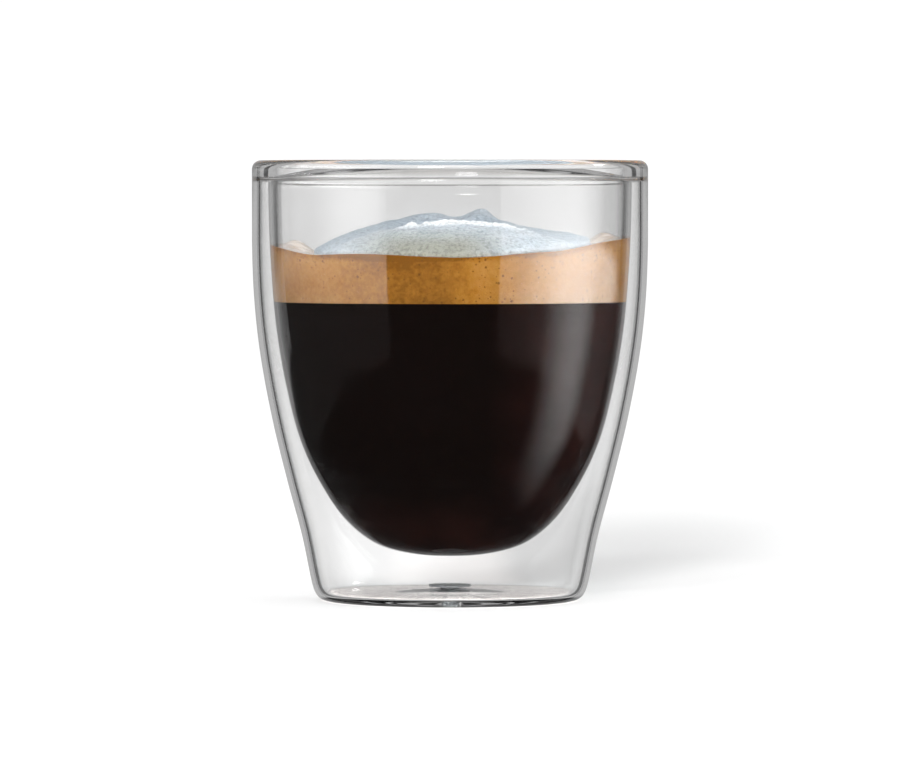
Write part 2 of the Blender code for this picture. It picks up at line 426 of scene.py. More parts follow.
@dataclass(frozen=True)
class BlackCoffee:
    """Strong black coffee behind glass: near black, with a painted red-brown glow of light at the bottom and
    at the right.
    """

    name: str = "brewed_black_coffee"
    deep: str = "#110806"
    # Colour of the painted glow of light
    lit_red_brown: str = "#341B17"

    def build(self) -> bpy.types.Material:
        """Make the material: a painted red-brown glow of light towards the bowl's bottom and right side,
        where light gets in.

        Returns:
            The material.
        """
        material, tree, out, place = new_material(self.name)
        axes = add(tree, "ShaderNodeSeparateXYZ", {0: place})
        # Painted light: the coffee glows red-brown towards the bottom and the right
        low = mapped(tree, axes.outputs["Z"], 20.0 * MM, 8.0 * MM, 0.0, 0.7)
        right = mapped(tree, axes.outputs["X"], 4.0 * MM, 22.0 * MM, 0.0, 1.1)
        glow_share = maths(tree, "MAXIMUM", low, right)
        cloudy = maths(tree, "MULTIPLY", glow_share, noise(tree, place, 120.0, 3.0))
        colour = ramp(tree, cloudy, [(0.05, self.deep), (0.6, self.lit_red_brown)])
        body = add(tree, "ShaderNodeBsdfPrincipled", {
            "Base Color": colour, "Roughness": 0.06, "IOR": 1.33, "Specular IOR Level": 0.12})
        tree.links.new(body.outputs["BSDF"], out.inputs["Surface"])
        return material


@dataclass(frozen=True)
class CremaFroth:
    """Espresso crema: a fine froth, golden brown at the glass, with tiny pores and paler, looser bubbles."""

    name: str = "espresso_crema_froth"
    dark: str = "#8A5712"
    middle: str = "#B97F2C"
    light: str = "#D09A50"
    pore: str = "#6E4416"
    froth: str = "#F6E4D6"
    # Cells per metre for each size of pore, and the largest share of them that is open
    pore_sizes: tuple[tuple[float, float], ...] = ((2300.0, 0.55), (1500.0, 0.30))
    # Where the surface climbs, in millimetres of X, and how far
    climbs: tuple[tuple[float, float, float], ...] = (
        (-19.7, -27.4, 1.2), (0.0, 15.1, 0.42), (15.1, 27.4, 2.18))

    def pores(self, tree: Tree, place: Socket, fine: float, chance: Socket) -> Socket:
        """Mark open bubbles: one round spot in each cell that wins a draw.

        Args:
            tree: The node tree.
            place: Position in metres.
            fine: Cells per metre.
            chance: Share of the cells with a spot.

        Returns:
            1 on a spot, else 0.
        """
        cells = add(tree, "ShaderNodeTexVoronoi", {"Vector": place, "Scale": fine, "Randomness": 0.9})
        draw = add(tree, "ShaderNodeSeparateColor", {0: cells.outputs["Color"]})
        open_here = maths(tree, "LESS_THAN", draw.outputs[0], chance)
        size = mapped(tree, draw.outputs[1], 0.0, 1.0, 0.14, 0.34)
        spot = maths(tree, "LESS_THAN", cells.outputs["Distance"], size)
        return maths(tree, "MULTIPLY", spot, open_here)

    def depth(self, tree: Tree, axes: bpy.types.Node) -> Socket:
        """Depth under the crema's surface, which climbs at both sides.

        Args:
            tree: The node tree.
            axes: Node with the position's X, Y and Z.

        Returns:
            Metres under the surface.
        """
        surface = CREMA_LEVEL
        for start, end, climb in self.climbs:
            step = mapped(tree, axes.outputs["X"], start * MM, end * MM, 0.0, climb * MM, smooth=True)
            surface = maths(tree, "ADD", step, surface)
        return maths(tree, "SUBTRACT", surface, axes.outputs["Z"])

    def browns(self, tree: Tree, place: Socket, axes: bpy.types.Node, under: Socket) -> Socket:
        """Colour of the froth: clouds of about 8 mm and a far finer grain, over a painted reflection of the
        side lights that leaves it lighter at both sides and darkest left of the middle.

        Args:
            tree: The node tree.
            place: Position in metres.
            axes: Node with the position's X, Y and Z.
            under: Depth under the surface.

        Returns:
            The colour.
        """
        # Painted reflection of the side lights: lighter at both sides, darkest left of the middle
        across = mapped(tree, axes.outputs["X"], -28.0 * MM, 28.0 * MM)
        tone_and_painted_light = ramp(tree, across, [(0.0, "#8C8C8C"), (0.28, "#6C6C6C"), (0.37, "#2E2E2E"), (0.47, "#464646"),
                                   (0.60, "#8A8A8A"), (1.0, "#909090")])
        tone_and_painted_light = maths(tree, "MULTIPLY_ADD", noise(tree, place, 130.0, 10.0, 0.72), 0.6, tone_and_painted_light)
        tone_and_painted_light = maths(tree, "MULTIPLY_ADD", noise(tree, place, 1500.0, 3.0, 0.6), 0.22, tone_and_painted_light)
        tone_and_painted_light = maths(tree, "ADD", tone_and_painted_light, 0.07)
        tone_and_painted_light = maths(tree, "SUBTRACT", tone_and_painted_light, mapped(tree, under, 1.0 * MM, 0.2 * MM, 0.0, 0.16))
        return ramp(tree, tone_and_painted_light, [(0.50, self.dark), (0.66, self.middle), (0.88, self.light)])

    def pored(self, tree: Tree, place: Socket, axes: bpy.types.Node, under: Socket,
              colour: Socket) -> Socket:
        """Add the pores, 0.1 to 0.5 mm across, most of them just under the surface and just above the coffee.

        Args:
            tree: The node tree.
            place: Position in metres.
            axes: Node with the position's X, Y and Z.
            under: Depth under the surface.
            colour: The froth's colour.

        Returns:
            The colour with the pores in it.
        """
        high = mapped(tree, under, 2.6 * MM, 0.4 * MM, 0.0, 0.14)
        low = mapped(tree, axes.outputs["Z"], COFFEE_LEVEL + 1.4 * MM, COFFEE_LEVEL, 0.0, 0.16)
        crowded = maths(tree, "ADD", noise(tree, place, 260.0, 3.0), high)
        crowded = maths(tree, "ADD", crowded, low)
        for fine, most in self.pore_sizes:
            spot = self.pores(tree, place, fine, mapped(tree, crowded, 0.42, 0.78, 0.0, most))
            colour = blended(tree, maths(tree, "MULTIPLY", spot, 0.72), colour, linear(self.pore))
        return colour

    def build(self) -> bpy.types.Material:
        """Make the material: browns, pores, and a pale loose froth on top at both sides, under a wet coat.

        Returns:
            The material.
        """
        material, tree, out, place = new_material(self.name)
        axes = add(tree, "ShaderNodeSeparateXYZ", {0: place})
        under = self.depth(tree, axes)
        colour = self.pored(tree, place, axes, under, self.browns(tree, place, axes, under))
        # The loose froth lies on top at both sides, where the surface faces up
        facing = add(tree, "ShaderNodeSeparateXYZ", {0: add(tree, "ShaderNodeNewGeometry").outputs["Normal"]})
        upward = mapped(tree, facing.outputs["Z"], 0.2, 0.5)
        outer = maths(tree, "ABSOLUTE", axes.outputs["X"])
        aside = mapped(tree, outer, 16.0 * MM, 22.5 * MM, smooth=True)
        loose = mapped(tree, noise(tree, place, 420.0, 4.0), 0.34, 0.55, 0.55, 1.0)
        pale = maths(tree, "MULTIPLY", maths(tree, "MULTIPLY", upward, loose), aside)
        colour = blended(tree, pale, colour, linear(self.froth))
        cells = add(tree, "ShaderNodeTexVoronoi", {"Vector": place, "Scale": 1900.0, "Randomness": 1.0})
        bump = add(tree, "ShaderNodeBump", {
            "Height": cells.outputs["Distance"], "Strength": 0.2, "Distance": 0.0001})
        body = add(tree, "ShaderNodeBsdfPrincipled", {
            "Base Color": colour, "Roughness": 0.55, "IOR": 1.35, "Specular IOR Level": 0.15,
            "Subsurface Weight": 0.15, "Subsurface Radius": (0.0012, 0.0007, 0.0003), "Subsurface Scale": 1.0,
            "Coat Weight": 1.0, "Coat Roughness": 0.03, "Coat IOR": 2.0, "Normal": bump.outputs["Normal"]})
        tree.links.new(body.outputs["BSDF"], out.inputs["Surface"])
        return material


@dataclass(frozen=True)
class MilkFoamFroth:
    """Steamed milk foam: cool white and matt, with fine bubbles that show as grain."""

    name: str = "steamed_milk_foam"
    white: str = "#CFD6DC"
    shade: str = "#B9C4CD"
    # Painted shade at the foot of the mound
    foot_shade: str = "#9B9C92"
    # Painted shade of the hollow behind the lip
    shadow: str = "#A3B0BC"
    # Painted highlight along the lip
    lip_highlight: str = "#F6F9FB"

    def shaded_foot(self, tree: Tree, axes: bpy.types.Node, colour: Socket) -> Socket:
        """Add painted shade, greyer towards the foot of the mound, most of it in the middle.

        Args:
            tree: The node tree.
            axes: Node with the position's X, Y and Z.
            colour: The foam's colour.

        Returns:
            The colour with the painted shade in it.
        """
        # Painted shade: greyer towards the foot of the mound, most in the middle
        low = mapped(tree, axes.outputs["Z"], 60.2 * MM, 56.5 * MM, smooth=True)
        outer = maths(tree, "ABSOLUTE", maths(tree, "ADD", axes.outputs["X"], 3.0 * MM))
        inner = mapped(tree, outer, 15.0 * MM, 4.0 * MM, smooth=True)
        return blended(tree, maths(tree, "MULTIPLY", low, inner), colour, linear(self.foot_shade))

    def shaded_hollow_lit_lip(self, tree: Tree, axes: bpy.types.Node, colour: Socket) -> Socket:
        """Paint shade into the hollow behind the lip, and paint a highlight along the lip itself.

        Args:
            tree: The node tree.
            axes: Node with the position's X, Y and Z.
            colour: The foam's colour.

        Returns:
            The colour with both in it.
        """
        # Painted shade in the hollow behind the lip
        behind = mapped(tree, axes.outputs["Y"], -11.4 * MM, -10.4 * MM, smooth=True)
        before = mapped(tree, axes.outputs["Y"], 3.0 * MM, -2.0 * MM, smooth=True)
        hollow = maths(tree, "MULTIPLY", maths(tree, "MULTIPLY", behind, before), 0.55)
        colour = blended(tree, hollow, colour, linear(self.shadow))
        # Painted highlight along the lip, on its raised part
        off_lip = maths(tree, "ABSOLUTE", maths(tree, "ADD", axes.outputs["Y"], 12.2 * MM))
        near = mapped(tree, off_lip, 1.5 * MM, 0.5 * MM, smooth=True)
        raised = mapped(tree, axes.outputs["Z"], 59.0 * MM, 60.0 * MM)
        return blended(tree, maths(tree, "MULTIPLY", near, raised), colour, linear(self.lip_highlight))

    def build(self) -> bpy.types.Material:
        """Make the material: pale clouds, painted shade at the foot and in the hollow, a painted highlight on
        the lip, specks of 0.5 mm, and a bump of bubbles and crumbs.

        Returns:
            The material.
        """
        material, tree, out, place = new_material(self.name)
        axes = add(tree, "ShaderNodeSeparateXYZ", {0: place})
        colour = ramp(tree, noise(tree, place, 260.0, 5.0, 0.6), [(0.35, self.shade), (0.62, self.white)])
        colour = self.shaded_hollow_lit_lip(tree, axes, self.shaded_foot(tree, axes, colour))
        specks = ramp(tree, noise(tree, place, 1900.0, 2.0), [(0.36, "#DDDDDD"), (0.52, "#FFFFFF")])
        colour = blended(tree, 1.0, colour, specks, "MULTIPLY")
        cells = add(tree, "ShaderNodeTexVoronoi", {"Vector": place, "Scale": 1700.0, "Randomness": 1.0})
        rough = maths(tree, "ADD", cells.outputs["Distance"], noise(tree, place, 800.0, 5.0, 0.65))
        bump = add(tree, "ShaderNodeBump", {"Height": rough, "Strength": 0.6, "Distance": 0.0003})
        body = add(tree, "ShaderNodeBsdfPrincipled", {
            "Base Color": colour, "Roughness": 0.5, "IOR": 1.35,
            "Subsurface Weight": 0.1, "Subsurface Radius": (0.0010, 0.0010, 0.0011), "Subsurface Scale": 1.0,
            "Normal": bump.outputs["Normal"]})
        tree.links.new(body.outputs["BSDF"], out.inputs["Surface"])
        return material


@dataclass
class DoubleWalledGlass:
    """The glass: a rounded bowl hung by its rim in an outer wall, with a closed layer of air between them."""

    rim_round: float = 1.4 * MM
    rim_depth: float = 3.4 * MM
    contact_radius: float = 19.1 * MM
    foot_round: float = 3.2 * MM
    floor: float = 1.25 * MM
    punt_radius: float = 8.75 * MM
    punt_rise: float = 0.7 * MM
    vent_radius: float = 1.5 * MM
    # Width of the bevel where the floor meets the outer wall, on the side of the air
    air_corner: float = 0.7 * MM
    # How far the foot's corner reaches along the ring, as a share of its rounding
    foot_pull: float = 0.7
    # Points along each curve of the outline
    bowl_points: int = 90
    wall_points: int = 80
    corner_points: int = 18
    rim_points: int = 14
    punt_points: int = 16
    # Points of the finer curves that the outline is measured on
    knot_points: int = 900
    radius_points: int = 700
    segments: int = 320
    outer_knots: list[tuple[float, float]] = field(default_factory=lambda: [
        (31.5, 57.0), (31.15, 48.0), (30.2, 39.3), (28.3, 29.0), (25.9, 19.1), (23.6, 10.5), (22.35, 4.45)])
    bowl_knots: list[tuple[float, float]] = field(default_factory=lambda: [
        (0.0, 7.3), (6.0, 7.6), (11.9, 9.3), (16.8, 13.2), (20.8, 19.1), (23.9, 25.9), (26.2, 34.9),
        (27.7, 44.0), (28.5, 53.5), (28.85, 62.0), (28.95, 70.0)])

    def bowl(self, rail: Rail, top: float, count: int) -> np.ndarray:
        """The bowl from its lowest point on the axis up to a height, along one side of its wall.

        Args:
            rail: Which side the curve follows.
            top: Height of the last point.
            count: Number of points wanted, evenly spaced along the curve.

        Returns:
            Radius and height of each point.
        """
        fine = inset(curve_through(self.bowl_knots, self.knot_points), -rail.value)
        fine[0, 0] = 0.0
        fine = fine[fine[:, 1] <= top]
        reach = np.concatenate([[0.0], np.cumsum(np.linalg.norm(np.diff(fine, axis=0), axis=1))])
        stops = np.linspace(0.0, reach[-1], count)
        points = np.column_stack([np.interp(stops, reach, fine[:, 0]), np.interp(stops, reach, fine[:, 1])])
        points[-1, 1] = top
        return points

    def bowl_radius(self, rail: Rail, height: np.ndarray | float) -> np.ndarray:
        """Radius of the bowl along one side of its wall, at one or more heights."""
        line = self.bowl(rail, HEIGHT - self.rim_round, self.radius_points)
        return np.interp(height, line[:, 1], line[:, 0])

    def outer_wall(self) -> np.ndarray:
        """Outside of the glass down to the ring of the foot: the wall's curve, then a cubic Bezier corner.

        Returns:
            Radius and height of each point.
        """
        wall = curve_through(self.outer_knots, self.wall_points)
        slope = (wall[-1] - wall[-2]) / np.linalg.norm(wall[-1] - wall[-2])
        ring = np.array([self.contact_radius, 0.0])
        leave = wall[-1] + slope * self.foot_round
        arrive = ring + (self.foot_pull * self.foot_round, 0.0)
        t = np.linspace(0.0, 1.0, self.corner_points)[1:, None]
        corner = (
            (1 - t) ** 3 * wall[-1]
            + 3 * (1 - t) ** 2 * t * leave
            + 3 * (1 - t) * t * t * arrive
            + t ** 3 * ring
        )
        return np.vstack([wall, corner])

    def punt_height(self, radius: np.ndarray | float) -> np.ndarray | float:
        """Height of the shallow dome under the foot: half a cosine wave from its edge to the axis."""
        return 0.5 * self.punt_rise * (1.0 + np.cos(np.pi * radius / self.punt_radius))

    def punt(self, level: float) -> np.ndarray:
        """The dome from its edge to the vent, raised to a level."""
        radius = np.linspace(self.punt_radius, self.vent_radius, self.punt_points)
        return np.column_stack([radius, level + self.punt_height(radius)])

    def outline(self) -> np.ndarray:
        """The glass in one line: up the bowl, over the rim, down the outside, in at the vent, round the air.

        Returns:
            Radius and height of each point, from the axis to the axis.
        """
        rim_foot = HEIGHT - self.rim_round
        inside = self.bowl(Rail.DRINK_SIDE, rim_foot, self.bowl_points)
        lip = inside[-1, 0] + self.rim_round
        shoulder = RADIUS - self.rim_round
        radii = (self.rim_round, self.rim_round)
        outside = self.outer_wall()
        air_top = HEIGHT - self.rim_depth
        air_outside = inset(outside, WALL)[::-1]
        air_outside = air_outside[air_outside[:, 1] > self.floor]
        bowl_outside = self.bowl(Rail.AIR_SIDE, air_top, self.bowl_points)
        middle = 0.5 * (bowl_outside[-1, 0] + air_outside[-1, 0])
        half_air = air_outside[-1, 0] - middle
        return np.vstack([
            inside,
            arc((lip, rim_foot), radii, 180, 90, self.rim_points)[1:],
            arc((shoulder, rim_foot), radii, 90, 0, self.rim_points),
            outside,
            self.punt(0.0),
            self.punt(self.floor)[::-1],
            [(air_outside[0, 0] - self.air_corner, self.floor)],
            air_outside,
            arc((middle, air_top), (half_air, half_air), 0, 180, self.corner_points),
            bowl_outside[-2::-1],
        ])

    def build(self, finish: BlownGlass) -> None:
        """Turn the outline and dress it in its finish."""
        obj = turned_mesh("double_walled_glass", self.outline(), self.segments)
        dress(obj, finish.build(), "glass")


@dataclass
class VentSeal:
    """The seal of the layer of air: a stem in the vent, a head under the punt and a button inside."""

    glass: DoubleWalledGlass
    clearance: float = 0.03 * MM
    head_radius: float = 2.1 * MM
    head_thickness: float = 0.2 * MM
    button_radius: float = 3.4 * MM
    button_thickness: float = 0.35 * MM
    edge_points: int = 9
    segments: int = 96

    def outline(self) -> np.ndarray:
        """The seal's outline: a button with a rounded edge, the stem, and a head with a rounded edge.

        Returns:
            Radius and height of each point, from the axis to the axis.
        """
        glass = self.glass
        stem = glass.vent_radius - self.clearance
        head_top = glass.punt_height(self.head_radius) - GAP
        foot = glass.floor + glass.punt_height(glass.vent_radius) + GAP
        top = foot + self.button_thickness
        edge, half = 0.5 * self.head_thickness, 0.5 * self.button_thickness
        return np.vstack([
            [(0.0, top)],
            arc((self.button_radius - half, top - half), (half, half), 90, -90, self.edge_points),
            [(stem, foot), (stem, head_top)],
            arc((self.head_radius - edge, head_top - edge), (edge, edge), 90, -90, self.edge_points),
            [(0.0, head_top - self.head_thickness)],
        ])

    def build(self, finish: ClearSilicone) -> None:
        """Turn the outline and dress it in its finish."""
        obj = turned_mesh("silicone_vent_seal", self.outline(), self.segments)
        dress(obj, finish.build(), "vent_seal")


@dataclass
class Coffee:
    """The coffee under the crema: the bowl filled up to a level."""

    glass: DoubleWalledGlass
    wall_points: int = 110
    top_points: int = 12
    segments: int = 240

    def build(self, finish: BlackCoffee) -> None:
        """Turn the bowl's inner curve, moved a little into the wall, and dress it.

        Args:
            finish: The coffee's finish.
        """
        wall = self.glass.bowl(Rail.IN_THE_WALL, COFFEE_LEVEL, self.wall_points)
        across = np.linspace(0.0, wall[-1, 0], self.top_points)[:-1]
        top = np.column_stack([across, np.full(len(across), COFFEE_LEVEL)])
        obj = turned_mesh("coffee_in_the_bowl", np.vstack([top, wall[::-1]]), self.segments)
        dress(obj, finish.build(), "coffee")


@dataclass
class Crema:
    """The crema: a layer on the coffee whose surface climbs the glass at both sides, more at the right."""

    glass: DoubleWalledGlass
    left_climb: float = 1.2 * MM
    right_climb: float = 2.6 * MM
    swell: float = 0.35 * MM
    ridge_rise: float = 1.3 * MM
    ridge_reach: float = 24.3 * MM
    ridge_back: float = 2.0 * MM
    ridge_width: float = 2.2 * MM
    ridge_length: float = 6.0 * MM
    relief_size: float = 1.2 * MM
    relief_rise: float = 0.10 * MM
    steps: int = 300
    rings: int = 90
    sides: int = 26

    def top(self, x: np.ndarray, y: np.ndarray) -> np.ndarray:
        """Height of the surface: a level, smooth climbs at both sides, a slow swell and a ridge each side.

        Args:
            x, y: Coordinates in metres.

        Returns:
            One height for each point.
        """
        side = x / self.glass.bowl_radius(Rail.DRINK_SIDE, CREMA_LEVEL)
        left = self.left_climb * smooth_step(0.72, 1.0, -side)
        right = self.right_climb * (0.16 * smooth_step(0.0, 0.55, side) + 0.84 * smooth_step(0.55, 1.0, side))
        swell = self.swell * np.sin(190.0 * x + 1.1) * np.cos(150.0 * y + 0.4) * np.hypot(x, y) / RADIUS
        ridge = self.ridge_rise * np.exp(-((np.abs(x) - self.ridge_reach) / self.ridge_width) ** 2
                                         - ((y - self.ridge_back) / self.ridge_length) ** 2)
        return CREMA_LEVEL + left + right + swell + ridge

    def relief(self, x: np.ndarray, y: np.ndarray) -> np.ndarray:
        """Fine unevenness of the surface: bubbly noise in three layers, each finer than the one before."""
        return self.relief_rise * layered_noise(x, y, self.relief_size, seed=5, octaves=3)

    def build(self, finish: CremaFroth) -> None:
        """Build the layer as rings: out over the surface, down the wall and in under it.

        Args:
            finish: The crema's finish.
        """
        angle = np.linspace(0.0, 2.0 * np.pi, self.steps, endpoint=False)
        rail = Rail.IN_THE_WALL
        edge = self.glass.bowl_radius(rail, CREMA_LEVEL)
        share = np.sin(np.linspace(0.0, 0.5 * np.pi, self.rings))[1:, None]
        x, y = share * edge * np.cos(angle), share * edge * np.sin(angle)
        top = self.top(x, y) + self.relief(x, y) * (1.0 - share ** 8)
        reach = self.glass.bowl_radius(rail, top) / edge
        surface = np.stack([x * reach, y * reach, top], axis=-1)
        fall = np.linspace(1.0, 0.0, self.sides)[1:, None]
        height = COFFEE_LEVEL + fall * (top[-1] - COFFEE_LEVEL)
        radius = self.glass.bowl_radius(rail, height)
        wall = np.stack([radius * np.cos(angle), radius * np.sin(angle), height], axis=-1)
        centre = np.zeros(1)
        crown = (0.0, 0.0, float(self.top(centre, centre)[0]))
        obj = polar_mesh("crema_layer", np.concatenate([surface, wall]), crown, (0.0, 0.0, COFFEE_LEVEL))
        dress(obj, finish.build(), "crema")


@dataclass
class FoamMound:
    """The mound of milk foam: a flattened dome with a peak, a saddle and a scooped hollow behind a lip."""

    crema: Crema
    centre: tuple[float, float] = (0.4 * MM, 0.0)
    radius: float = 21.8 * MM
    rise: float = 5.5 * MM
    edge: float = 0.6 * MM
    power: float = 0.8
    steps: int = 560
    rings: int = 170
    lip_rise: float = 0.42 * MM
    lip_width: float = 0.5 * MM
    # Where the lip runs, how far it sways, and the size of its nicks
    lip_line: float = -12.0 * MM
    lip_sway: float = 0.6 * MM
    nick_size: float = 1.0 * MM
    lump_size: float = 2.4 * MM
    lump_rise: float = 0.16 * MM
    ripple_rise: float = 0.12 * MM
    # How far the mound's skin stays above the crema, and how far its underside is sunk into it
    least_rise: float = 0.1 * MM
    sunk: float = 0.15 * MM
    # Rings of the top that the underside follows, counted back from the edge
    under_rings: tuple[int, ...] = (-1, -40, -90)
    # Swells and hollows, each as x, y, half-width in x, half-width in y and height, in millimetres
    bumps: list[tuple[float, float, float, float, float]] = field(default_factory=lambda: [
        (5.0, 2.5, 1.9, 3.6, 1.35),
        (-4.0, 2.0, 3.6, 5.0, 0.45),
        (0.8, 2.0, 1.9, 5.0, -0.45),
        (11.5, 0.0, 5.0, 13.0, -1.0),
        (-0.5, -7.0, 8.5, 3.6, -2.1),
        (0.5, -12.0, 8.0, 1.6, 0.55),
    ])

    def far(self, angle: np.ndarray) -> np.ndarray:
        """Distance of the wavy edge from the middle, at each angle."""
        wave = 0.025 * np.sin(3.0 * angle + 0.6) * np.sin(angle) + 0.02 * np.sin(5.0 * angle) ** 2
        return self.radius * (1.0 + wave)

    def top(self, x: np.ndarray, y: np.ndarray) -> np.ndarray:
        """Height of the mound: a dome (1 - s^2)^power, plus bell-shaped swells and hollows and fine ripples.

        Args:
            x, y: Coordinates in metres.

        Returns:
            One height for each point.
        """
        away_x, away_y = x - self.centre[0], y - self.centre[1]
        share = np.hypot(away_x, away_y) / self.far(np.arctan2(away_y, away_x))
        dome = np.clip(1.0 - share ** 2, 0.0, 1.0)
        height = self.crema.top(x, y) + GAP + self.edge * dome ** 0.25 + self.rise * dome ** self.power
        for middle_x, middle_y, wide, deep, rise in np.array(self.bumps) * MM:
            height = height + rise * np.exp(-((x - middle_x) / wide) ** 2 - ((y - middle_y) / deep) ** 2)
        ripple = np.sin(1150.0 * x + 380.0 * y) * np.sin(420.0 * x - 990.0 * y + 1.3)
        return height + self.ripple_rise * ripple * dome

    def lip(self, x: np.ndarray, y: np.ndarray) -> np.ndarray:
        """Height of the crisp edge of the hollow: a thin wandering ridge, down the mound's right side.

        Args:
            x, y: Coordinates in metres.

        Returns:
            One height for each point.
        """
        sway = self.lip_sway * np.sin(700.0 * x + 0.5)
        line = self.lip_line + sway + 0.05 * np.clip(x - 7.0 * MM, 0.0, None)
        along = smooth_step(-10.0 * MM, -6.0 * MM, x) * smooth_step(16.0 * MM, 11.0 * MM, x)
        rough = 1.0 + 0.9 * layered_noise(x, y, self.nick_size, seed=21, octaves=3)
        return self.lip_rise * rough * along * np.exp(-((y - line) / self.lip_width) ** 2)

    def build(self, finish: MilkFoamFroth) -> None:
        """Build the mound as rings: out over its top, then in along its underside, sunk into the crema.

        Args:
            finish: The foam's finish.
        """
        angle = np.linspace(0.0, 2.0 * np.pi, self.steps, endpoint=False)
        share = np.sin(np.linspace(0.0, 0.5 * np.pi, self.rings))[1:, None]
        x = self.centre[0] + share * self.far(angle) * np.cos(angle)
        y = self.centre[1] + share * self.far(angle) * np.sin(angle)
        lumps = self.lump_rise * layered_noise(x, y, self.lump_size, seed=11, octaves=4) * (1.0 - share ** 10)
        floor = self.crema.top(x, y)
        top = np.maximum(self.top(x, y) + lumps + self.lip(x, y), floor + self.least_rise)
        over = np.stack([x, y, top], axis=-1)
        under = np.stack([x, y, floor - self.sunk], axis=-1)[list(self.under_rings)]
        middle_x, middle_y = np.array([self.centre[0]]), np.array([self.centre[1]])
        crown = (*self.centre, float(self.top(middle_x, middle_y)[0]))
        base = (*self.centre, float(self.crema.top(middle_x, middle_y)[0]) - self.sunk)
        obj = polar_mesh("milk_foam_mound", np.concatenate([over, under]), crown, base)
        dress(obj, finish.build(), "milk_foam")


class Mirror(Enum):
    """Which wall of the glass mirrors a light, as how often that light crosses a glass surface on its way."""

    OUTER_WALL = (0, 2)
    BOWL_FACE = (3, 4)
    BOWL_LINING = (5, 7)
    FAR_SIDE = (8, 99)


@dataclass(frozen=True)
class SoftBox:
    """A soft box far away, as a patch of the sky: azimuths in degrees from +Y towards +X, and elevations.

    The edges say over how many degrees it fades at each side.
    """

    left: float
    right: float
    low: float
    high: float
    strength: float
    left_edge: float = 1.5
    right_edge: float = 1.5
    low_edge: float = 1.5
    high_edge: float = 8.0


